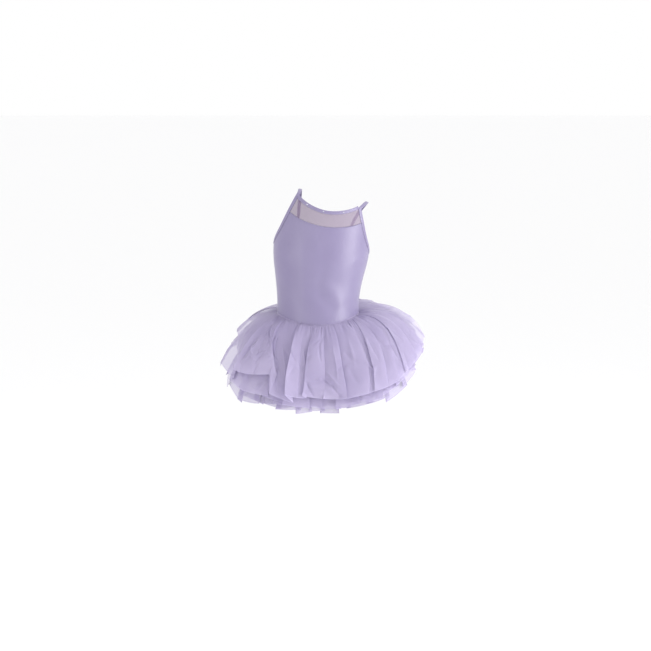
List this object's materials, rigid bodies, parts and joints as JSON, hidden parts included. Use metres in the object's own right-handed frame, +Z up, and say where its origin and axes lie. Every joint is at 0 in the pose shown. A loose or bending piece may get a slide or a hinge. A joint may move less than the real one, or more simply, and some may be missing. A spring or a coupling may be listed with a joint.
{
  "type": "ballet dress",
  "caption": "Child's worn ballet dress: camisole bodice with a sheer yoke, brief and gathered tulle skirt tiers, hollow and held at the shoulders.",
  "frame": {"origin": "the line over the shoulders, midway along it, where the wearer holds the dress up", "axes": "+Z up, the front faces -Y, +X to the wearer's left"},
  "size_m": [0.5039, 0.4405, 0.5134],
  "materials": {
    "jersey": "smooth stretch nylon jersey with a soft sheen",
    "stretch_mesh": "sheer matt stretch mesh",
    "binding": "self jersey binding, folded and stitched",
    "tulle": "soft translucent nylon tulle with raw hems"
  },
  "bodies": {
    "root": {"bodice_front": "jersey", "bodice_back": "jersey", "yoke_mesh": "stretch_mesh", "neck_binding_front": "binding", "neck_binding_back": "binding", "strap_left": "binding", "strap_right": "binding", "brief_front": "jersey", "brief_back": "jersey", "tulle_bottom_tier": "tulle", "tulle_middle_tier": "tulle", "tulle_top_tier": "tulle"}
  },
  "joints": []
}
